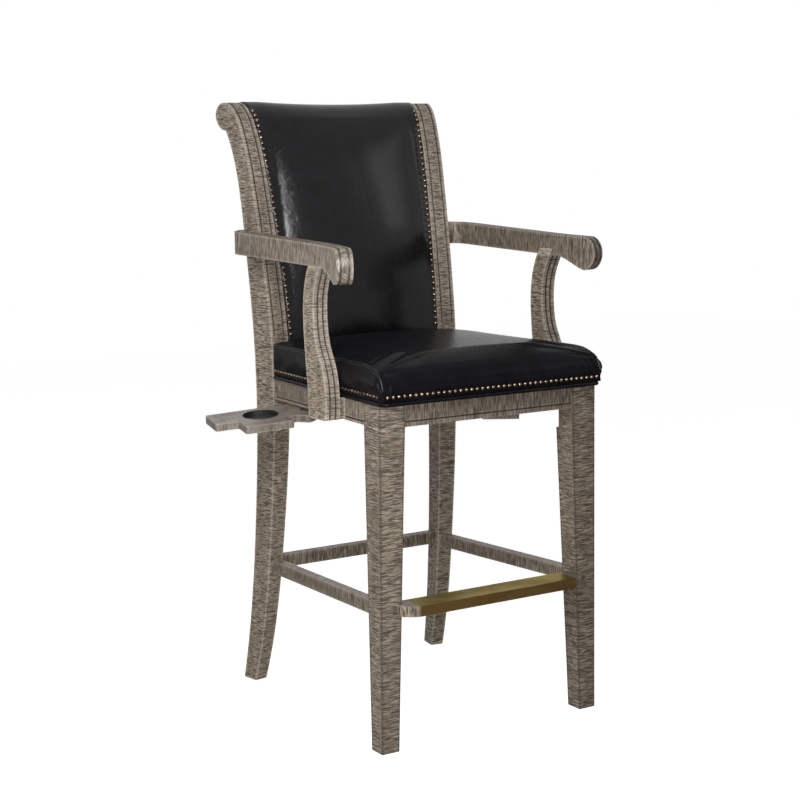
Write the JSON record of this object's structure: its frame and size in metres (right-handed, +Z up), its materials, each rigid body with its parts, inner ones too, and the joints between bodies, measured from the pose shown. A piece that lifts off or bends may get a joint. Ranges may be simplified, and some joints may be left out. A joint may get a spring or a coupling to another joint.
{
  "type": "billiard spectator chair",
  "caption": "Tall armchair for watching billiards: upholstered seat and rolled back, brass-capped footrest, and swing-out trays that hold a glass and cues.",
  "frame": {"origin": "on the floor, below the middle of the footprint: half way between the front faces of the front legs and the heels of the rear posts, midway between the two sides", "axes": "+Z up, -Y the way a seated person faces, +X to the right as seen from the front, across the chair"},
  "size_m": [0.7403, 0.6869, 1.2718],
  "materials": {
    "frame_wood": "weathered grey-brown, wire brushed, dark glaze in the grooves",
    "tray_wood": "weathered grey-brown with worn lighter edges",
    "raw_wood": "bare sanded hardwood inside the upholstery and under the seat",
    "deck_ply": "bare plywood",
    "upholstery": "near-black leatherette with a soft sheen and fine grain",
    "rear_cover": "near-black leatherette stretched over a thin panel",
    "piping_cover": "near-black leatherette welt",
    "nail_brass": "antique brass, dark in the hollows",
    "rest_brass": "satin brass, worn and lightly smudged",
    "fixing_steel": "zinc plated",
    "cup_plastic": "black, fine texture",
    "bearing_nylon": "natural nylon",
    "glide_nylon": "dark brown nylon"
  },
  "bodies": {
    "frame": {"arm_bolts": "fixing_steel", "arm_dowels": "raw_wood", "arm_support_left": "frame_wood", "arm_support_right": "frame_wood", "armrest_left": "frame_wood", "armrest_right": "frame_wood", "back_board": "deck_ply", "back_cushion": "upholstery", "back_low_rail": "raw_wood", "back_nails_left": "nail_brass", "back_nails_right": "nail_brass", "back_panel": "rear_cover", "back_roll_core": "raw_wood", "corner_bolts": "fixing_steel", "corner_nuts": "fixing_steel", "footrest_cap": "rest_brass", "footrest_rail": "frame_wood", "footrest_screws": "rest_brass", "frame_dowels": "raw_wood", "front_apron": "frame_wood", "front_corner_block_left": "raw_wood", "front_corner_block_right": "raw_wood", "front_glide_left": "glide_nylon", "front_glide_right": "glide_nylon", "front_leg_left": "frame_wood", "front_leg_right": "frame_wood", "rear_apron": "frame_wood", "rear_corner_block_left": "raw_wood", "rear_corner_block_right": "raw_wood", "rear_glide_left": "glide_nylon", "rear_glide_right": "glide_nylon", "rear_post_left": "frame_wood", "rear_post_right": "frame_wood", "rear_stretcher": "frame_wood", "seat_cushion": "upholstery", "seat_deck": "deck_ply", "seat_nails": "nail_brass", "seat_piping": "piping_cover", "seat_rail_front": "raw_wood", "seat_rail_left": "raw_wood", "seat_rail_rear": "raw_wood", "seat_rail_right": "raw_wood", "seat_screws": "fixing_steel", "side_apron_left": "frame_wood", "side_apron_right": "frame_wood", "side_stretcher_left": "frame_wood", "side_stretcher_right": "frame_wood", "support_bolts": "fixing_steel", "support_spacer_left": "frame_wood", "support_spacer_right": "frame_wood", "tray_bushing_left": "bearing_nylon", "tray_bushing_right": "bearing_nylon", "tray_pivot_bolt_left": "fixing_steel", "tray_pivot_bolt_right": "fixing_steel"},
    "cue_tray_left": {"cue_tray_left": "tray_wood", "cup_insert_left": "cup_plastic"},
    "cue_tray_right": {"cue_tray_right": "tray_wood", "cup_insert_right": "cup_plastic"}
  },
  "joints": [
    {"name": "tray_swing_left", "type": "hinge", "parent": "frame", "child": "cue_tray_left", "pos_m": [-0.225, 0.045, 0.6282], "axis": [0, 0, 1], "range_deg": [-5, 165]},
    {"name": "tray_swing_right", "type": "hinge", "parent": "frame", "child": "cue_tray_right", "pos_m": [0.225, 0.045, 0.6282], "axis": [0, 0, 1], "range_deg": [-35, 131]}
  ]
}
